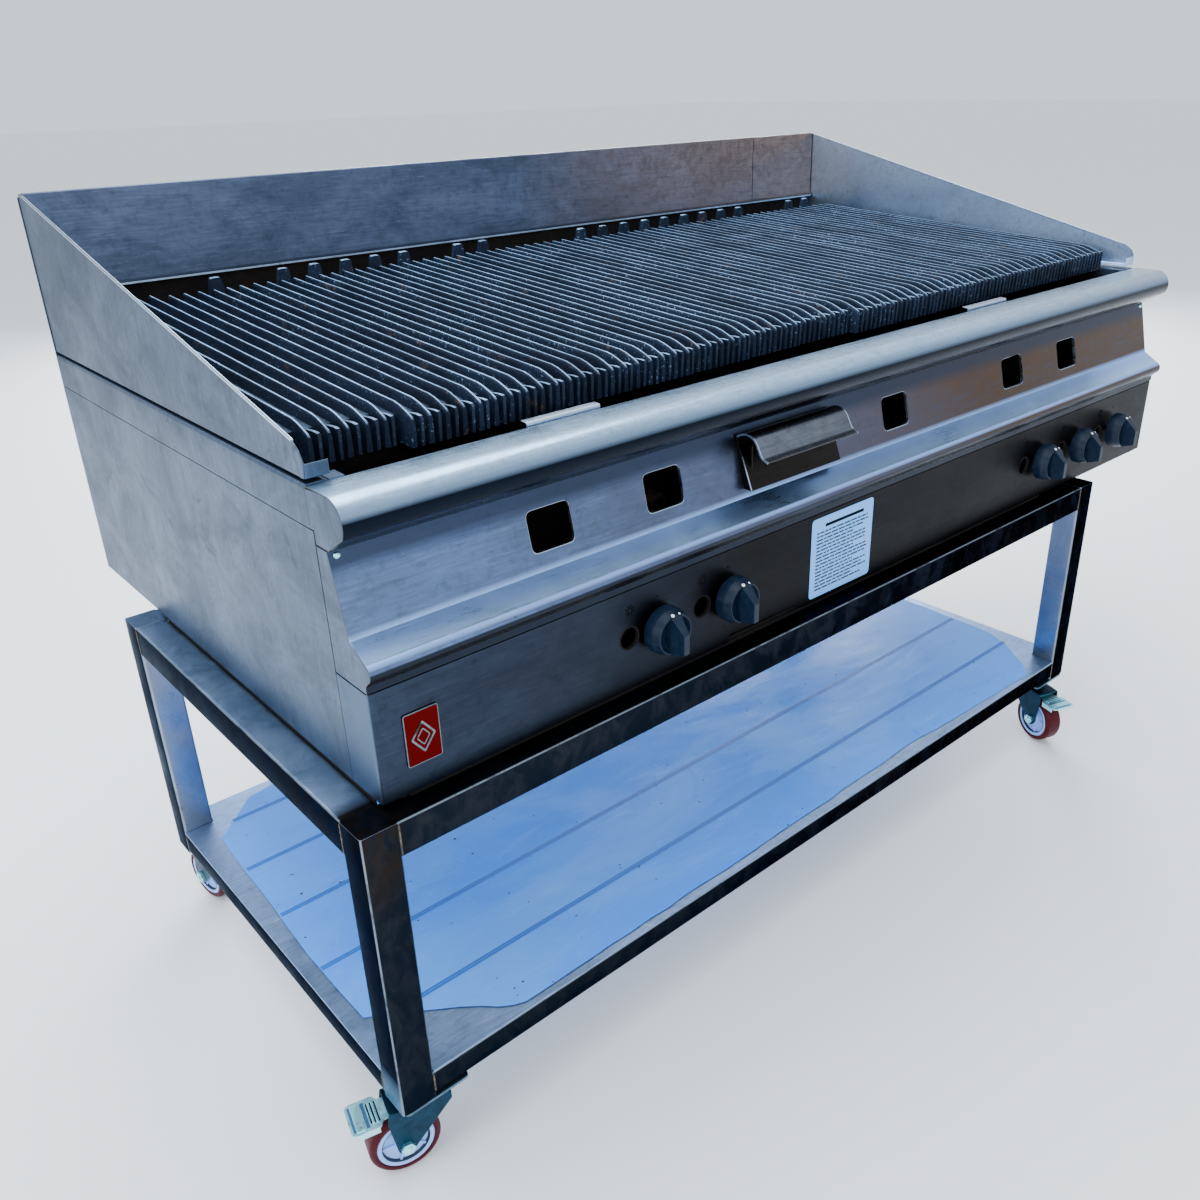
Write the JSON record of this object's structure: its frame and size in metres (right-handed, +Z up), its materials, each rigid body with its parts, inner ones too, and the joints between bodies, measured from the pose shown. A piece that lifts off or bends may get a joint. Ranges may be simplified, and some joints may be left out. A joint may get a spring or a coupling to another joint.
{
  "type": "gas chargrill",
  "caption": "Wide countertop gas chargrill with sloping cast-iron grate, splash guards, front gas taps and fat drawer, on a square-tube stand with a shelf and swivel castors",
  "frame": {"origin": "centre of the bounding box's footprint, on the floor under the castors", "axes": "+X along the grill's width to the user's right, +Y from its front to its rear, +Z up"},
  "size_m": [1.5838, 0.849, 0.9682],
  "materials": {
    "casing_steel": "satin stainless sheet, smeared and lightly scratched",
    "splash_steel": "satin stainless sheet, smeared with fat",
    "fascia_steel": "satin stainless sheet, darkened and browned",
    "drawer_steel": "satin stainless sheet with bright worn edges",
    "firebox_steel": "heat-blackened sheet",
    "burner_iron": "sooty cast iron",
    "gas_pipe": "dull plated brass and steel pipe",
    "brander_iron": "seasoned cast iron, worn pale on its top edges with specks of rust",
    "knob_plastic": "dark blue-grey moulded plastic",
    "stand_steel": "bright-drawn square tube with weld tint",
    "shelf_steel": "sheet with torn blue protective film",
    "castor_zinc": "bright zinc plate",
    "castor_hub": "pale grey moulded plastic",
    "castor_tyre": "dark red polyurethane",
    "badge_enamel": "red enamel with a thin silver border"
  },
  "bodies": {
    "grill_on_stand": {"hob_top": "casing_steel", "left_side_panel": "casing_steel", "right_side_panel": "casing_steel", "rear_panel": "casing_steel", "base_pan": "casing_steel", "vent_panel": "casing_steel", "control_fascia": "fascia_steel", "badge": "badge_enamel", "splash_back": "splash_steel", "splash_guard_left": "splash_steel", "splash_guard_right": "splash_steel", "firebox": "firebox_steel", "gas_manifold": "gas_pipe", "stand_frame": "stand_steel", "undershelf": "shelf_steel", "burner_1": "burner_iron", "burner_2": "burner_iron", "burner_3": "burner_iron", "burner_4": "burner_iron", "burner_5": "burner_iron"},
    "tap_1": {"tap_spindle_1": "gas_pipe"},
    "control_1": {"knob_1": "knob_plastic"},
    "tap_2": {"tap_spindle_2": "gas_pipe"},
    "control_2": {"knob_2": "knob_plastic"},
    "tap_3": {"tap_spindle_3": "gas_pipe"},
    "control_3": {"knob_3": "knob_plastic"},
    "tap_4": {"tap_spindle_4": "gas_pipe"},
    "control_4": {"knob_4": "knob_plastic"},
    "tap_5": {"tap_spindle_5": "gas_pipe"},
    "control_5": {"knob_5": "knob_plastic"},
    "drawer": {"fat_drawer": "drawer_steel"},
    "grate_section_1": {"brander_01": "brander_iron", "brander_02": "brander_iron", "brander_03": "brander_iron"},
    "grate_section_2": {"brander_04": "brander_iron", "brander_05": "brander_iron", "brander_06": "brander_iron"},
    "grate_section_3": {"brander_07": "brander_iron", "brander_08": "brander_iron", "brander_09": "brander_iron"},
    "grate_section_4": {"brander_10": "brander_iron", "brander_11": "brander_iron", "brander_12": "brander_iron"},
    "grate_section_5": {"brander_13": "brander_iron", "brander_14": "brander_iron", "brander_15": "brander_iron"},
    "front_left_fork": {"castor_front_left_fork": "castor_zinc"},
    "front_left_wheel": {"castor_front_left_hub": "castor_hub", "castor_front_left_tyre": "castor_tyre"},
    "front_left_brake": {"castor_front_left_pedal": "castor_zinc"},
    "front_right_fork": {"castor_front_right_fork": "castor_zinc"},
    "front_right_wheel": {"castor_front_right_hub": "castor_hub", "castor_front_right_tyre": "castor_tyre"},
    "front_right_brake": {"castor_front_right_pedal": "castor_zinc"},
    "rear_left_fork": {"castor_rear_left_fork": "castor_zinc"},
    "rear_left_wheel": {"castor_rear_left_hub": "castor_hub", "castor_rear_left_tyre": "castor_tyre"},
    "rear_right_fork": {"castor_rear_right_fork": "castor_zinc"},
    "rear_right_wheel": {"castor_rear_right_hub": "castor_hub", "castor_rear_right_tyre": "castor_tyre"}
  },
  "joints": [
    {"name": "knob_1_press", "type": "slide", "parent": "grill_on_stand", "child": "tap_1", "axis": [0, 1, 0], "range_m": [0, 0.004], "stiffness_N_per_m": 600, "springref_m": -0.004},
    {"name": "knob_1_turn", "type": "hinge", "parent": "tap_1", "child": "control_1", "pos_m": [-0.35809, -0.35548, 0.5325], "axis": [0, -1, 0], "range_deg": [0, 180]},
    {"name": "knob_2_press", "type": "slide", "parent": "grill_on_stand", "child": "tap_2", "axis": [0, 1, 0], "range_m": [0, 0.004], "stiffness_N_per_m": 600, "springref_m": -0.004},
    {"name": "knob_2_turn", "type": "hinge", "parent": "tap_2", "child": "control_2", "pos_m": [-0.24809, -0.35548, 0.5325], "axis": [0, -1, 0], "range_deg": [0, 180]},
    {"name": "knob_3_press", "type": "slide", "parent": "grill_on_stand", "child": "tap_3", "axis": [0, 1, 0], "range_m": [0, 0.004], "stiffness_N_per_m": 600, "springref_m": -0.004},
    {"name": "knob_3_turn", "type": "hinge", "parent": "tap_3", "child": "control_3", "pos_m": [0.43791, -0.35548, 0.5325], "axis": [0, -1, 0], "range_deg": [0, 180]},
    {"name": "knob_4_press", "type": "slide", "parent": "grill_on_stand", "child": "tap_4", "axis": [0, 1, 0], "range_m": [0, 0.004], "stiffness_N_per_m": 600, "springref_m": -0.004},
    {"name": "knob_4_turn", "type": "hinge", "parent": "tap_4", "child": "control_4", "pos_m": [0.54891, -0.35548, 0.5325], "axis": [0, -1, 0], "range_deg": [0, 180]},
    {"name": "knob_5_press", "type": "slide", "parent": "grill_on_stand", "child": "tap_5", "axis": [0, 1, 0], "range_m": [0, 0.004], "stiffness_N_per_m": 600, "springref_m": -0.004},
    {"name": "knob_5_turn", "type": "hinge", "parent": "tap_5", "child": "control_5", "pos_m": [0.66391, -0.35548, 0.5325], "axis": [0, -1, 0], "range_deg": [0, 180]},
    {"name": "fat_drawer_slide", "type": "slide", "parent": "grill_on_stand", "child": "drawer", "axis": [0, -1, 0], "range_m": [0, 0.28]},
    {"name": "grate_section_1_lift", "type": "slide", "parent": "grill_on_stand", "child": "grate_section_1", "axis": [0, 0, 1], "range_m": [0, 0.06]},
    {"name": "grate_section_2_lift", "type": "slide", "parent": "grill_on_stand", "child": "grate_section_2", "axis": [0, 0, 1], "range_m": [0, 0.06]},
    {"name": "grate_section_3_lift", "type": "slide", "parent": "grill_on_stand", "child": "grate_section_3", "axis": [0, 0, 1], "range_m": [0, 0.06]},
    {"name": "grate_section_4_lift", "type": "slide", "parent": "grill_on_stand", "child": "grate_section_4", "axis": [0, 0, 1], "range_m": [0, 0.06]},
    {"name": "grate_section_5_lift", "type": "slide", "parent": "grill_on_stand", "child": "grate_section_5", "axis": [0, 0, 1], "range_m": [0, 0.06]},
    {"name": "front_left_swivel", "type": "hinge", "parent": "grill_on_stand", "child": "front_left_fork", "pos_m": [-0.70509, -0.33848, 0.11], "axis": [0, 0, 1], "continuous": true},
    {"name": "front_left_roll", "type": "hinge", "parent": "front_left_fork", "child": "front_left_wheel", "pos_m": [-0.73419, -0.33123, 0.04], "axis": [-0.2419, -0.9703, 0], "continuous": true},
    {"name": "front_left_brake_pedal", "type": "hinge", "parent": "front_left_fork", "child": "front_left_brake", "pos_m": [-0.74002, -0.32978, 0.0875], "axis": [-0.2419, -0.9703, 0], "range_deg": [0, 12]},
    {"name": "front_right_swivel", "type": "hinge", "parent": "grill_on_stand", "child": "front_right_fork", "pos_m": [0.54341, -0.33848, 0.11], "axis": [0, 0, 1], "continuous": true},
    {"name": "front_right_roll", "type": "hinge", "parent": "front_right_fork", "child": "front_right_wheel", "pos_m": [0.53315, -0.36668, 0.04], "axis": [0.9397, -0.342, 0], "continuous": true},
    {"name": "front_right_brake_pedal", "type": "hinge", "parent": "front_right_fork", "child": "front_right_brake", "pos_m": [0.5311, -0.37231, 0.0875], "axis": [0.9397, -0.342, 0], "range_deg": [0, 12]},
    {"name": "rear_left_swivel", "type": "hinge", "parent": "grill_on_stand", "child": "rear_left_fork", "pos_m": [-0.70509, 0.21202, 0.11], "axis": [0, 0, 1], "continuous": true},
    {"name": "rear_left_roll", "type": "hinge", "parent": "rear_left_fork", "child": "rear_left_wheel", "pos_m": [-0.71029, 0.24156, 0.04], "axis": [-0.9848, -0.1736, 0], "continuous": true},
    {"name": "rear_right_swivel", "type": "hinge", "parent": "grill_on_stand", "child": "rear_right_fork", "pos_m": [0.54341, 0.21202, 0.11], "axis": [0, 0, 1], "continuous": true},
    {"name": "rear_right_roll", "type": "hinge", "parent": "rear_right_fork", "child": "rear_right_wheel", "pos_m": [0.55841, 0.18603, 0.04], "axis": [0.866, 0.5, 0], "continuous": true}
  ]
}
